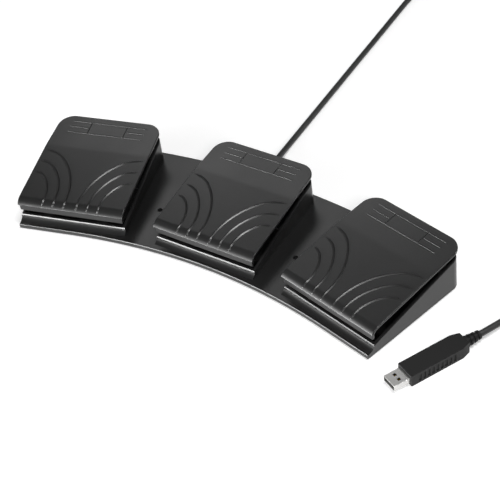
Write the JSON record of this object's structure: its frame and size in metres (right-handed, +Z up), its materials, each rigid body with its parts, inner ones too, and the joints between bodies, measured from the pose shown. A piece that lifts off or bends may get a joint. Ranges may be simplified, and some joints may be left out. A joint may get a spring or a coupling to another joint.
{
  "type": "foot pedal switch",
  "caption": "Fan-shaped foot switch: spring-returned pedals hinged on a low curved base, each pressing a push switch, with a cord and plug.",
  "frame": {"origin": "on the floor, under the middle of the box around the base and pedals, without the cord and plug", "axes": "+X along the row of pedals to the right, +Y to the back, +Z up"},
  "size_m": [0.4009, 0.4704, 0.0341],
  "materials": {
    "housing_plastic": "fine satin texture",
    "base_plastic": "matt",
    "pedal_plastic": "fine satin texture",
    "foot_rubber": "matt",
    "screw_steel": "plain",
    "board": "solder mask",
    "chip": "matt",
    "lead_insulation": "satin",
    "header_plastic": "satin",
    "cord_jacket": "soft satin",
    "tie": "matt",
    "plug_plastic": "satin",
    "shell_steel": "satin nickel plate",
    "tongue_plastic": "satin",
    "contact_gold": "gold plate",
    "switch_plastic": "satin",
    "pin_steel": "ground",
    "spring_steel": "drawn wire",
    "plunger_plastic": "satin"
  },
  "bodies": {
    "base": {"housing": "housing_plastic", "base_plate": "base_plastic", "rubber_feet": "foot_rubber", "base_screws": "screw_steel", "controller_board": "board", "left_switch_board": "board", "right_switch_board": "board", "controller_chip": "chip", "board_screws": "screw_steel", "left_ribbon_cable": "lead_insulation", "right_ribbon_cable": "lead_insulation", "ribbon_headers": "header_plastic", "usb_wires": "lead_insulation", "cable_grommet": "cord_jacket", "cable": "cord_jacket", "cable_coil": "cord_jacket", "plug_lead": "cord_jacket", "cable_tie": "tie", "plug_cover": "plug_plastic", "plug_shell": "shell_steel", "plug_tongue": "tongue_plastic", "plug_contacts": "contact_gold", "left_switch_case": "switch_plastic", "left_hinge_pins": "pin_steel", "left_return_spring": "spring_steel", "middle_switch_case": "switch_plastic", "middle_hinge_pins": "pin_steel", "middle_return_spring": "spring_steel", "right_switch_case": "switch_plastic", "right_hinge_pins": "pin_steel", "right_return_spring": "spring_steel"},
    "left_pedal": {"left_pedal": "pedal_plastic"},
    "middle_pedal": {"middle_pedal": "pedal_plastic"},
    "right_pedal": {"right_pedal": "pedal_plastic"},
    "left_switch_plunger": {"left_switch_plunger": "plunger_plastic"},
    "middle_switch_plunger": {"middle_switch_plunger": "plunger_plastic"},
    "right_switch_plunger": {"right_switch_plunger": "plunger_plastic"}
  },
  "joints": [
    {"name": "left_pedal_hinge", "type": "hinge", "parent": "base", "child": "left_pedal", "pos_m": [-0.12955, 0.02708, 0.0205], "axis": [0.969, 0.247, 0], "range_deg": [0, 2], "stiffness_Nm_per_rad": 3.5, "springref_deg": -4.24, "deforming": ["left_return_spring"]},
    {"name": "left_plunger_slide", "type": "slide", "parent": "base", "child": "left_switch_plunger", "axis": [0, 0, -1], "range_m": [0, 0.0011]},
    {"name": "middle_pedal_hinge", "type": "hinge", "parent": "base", "child": "middle_pedal", "pos_m": [0, 0.04333, 0.0205], "axis": [1, 0, 0], "range_deg": [0, 2], "stiffness_Nm_per_rad": 3.5, "springref_deg": -4.24, "deforming": ["middle_return_spring"]},
    {"name": "middle_plunger_slide", "type": "slide", "parent": "base", "child": "middle_switch_plunger", "axis": [0, 0, -1], "range_m": [0, 0.0011]},
    {"name": "right_pedal_hinge", "type": "hinge", "parent": "base", "child": "right_pedal", "pos_m": [0.12955, 0.02708, 0.0205], "axis": [0.969, -0.247, 0], "range_deg": [0, 2], "stiffness_Nm_per_rad": 3.5, "springref_deg": -4.24, "deforming": ["right_return_spring"]},
    {"name": "right_plunger_slide", "type": "slide", "parent": "base", "child": "right_switch_plunger", "axis": [0, 0, -1], "range_m": [0, 0.0011]}
  ],
  "couplings": [
    {"joint": "left_plunger_slide", "follows": "left_pedal_hinge", "m_per_rad": 0.03},
    {"joint": "middle_plunger_slide", "follows": "middle_pedal_hinge", "m_per_rad": 0.03},
    {"joint": "right_plunger_slide", "follows": "right_pedal_hinge", "m_per_rad": 0.03}
  ]
}
